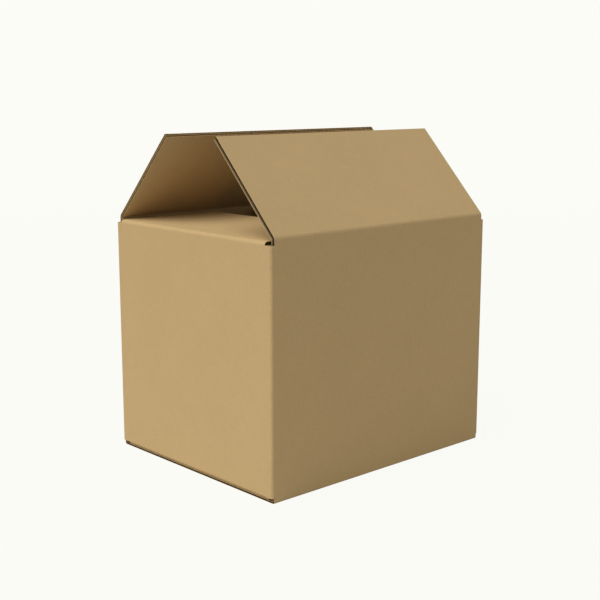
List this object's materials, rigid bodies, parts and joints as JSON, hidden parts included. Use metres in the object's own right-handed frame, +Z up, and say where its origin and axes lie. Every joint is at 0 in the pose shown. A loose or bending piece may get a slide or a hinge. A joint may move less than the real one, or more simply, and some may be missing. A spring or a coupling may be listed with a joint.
{
  "type": "double wall corrugated box",
  "caption": "Regular slotted carton of double wall corrugated board, short top flaps folded in and long top flaps hinged, leaning like a tent.",
  "frame": {"origin": "centre of the base, on the surface the box stands on", "axes": "+X along the length, +Y across the width towards the back long panel, +Z up"},
  "size_m": [0.4128, 0.3364, 0.4612],
  "materials": {
    "kraft_board": "matt brown kraft liner with faint fibre streaks, open flutes at its cut edges"
  },
  "bodies": {
    "carton": {"box_body": "kraft_board"},
    "front_lid": {"front_flap": "kraft_board"},
    "back_lid": {"back_flap": "kraft_board"}
  },
  "joints": [
    {"name": "front_fold", "type": "hinge", "parent": "carton", "child": "front_lid", "pos_m": [0, -0.1651, 0.3402], "axis": [1, 0, 0], "range_deg": [-46.8, 153.2]},
    {"name": "back_fold", "type": "hinge", "parent": "carton", "child": "back_lid", "pos_m": [0, 0.1651, 0.3402], "axis": [1, 0, 0], "range_deg": [-153.4, 46.6]}
  ]
}
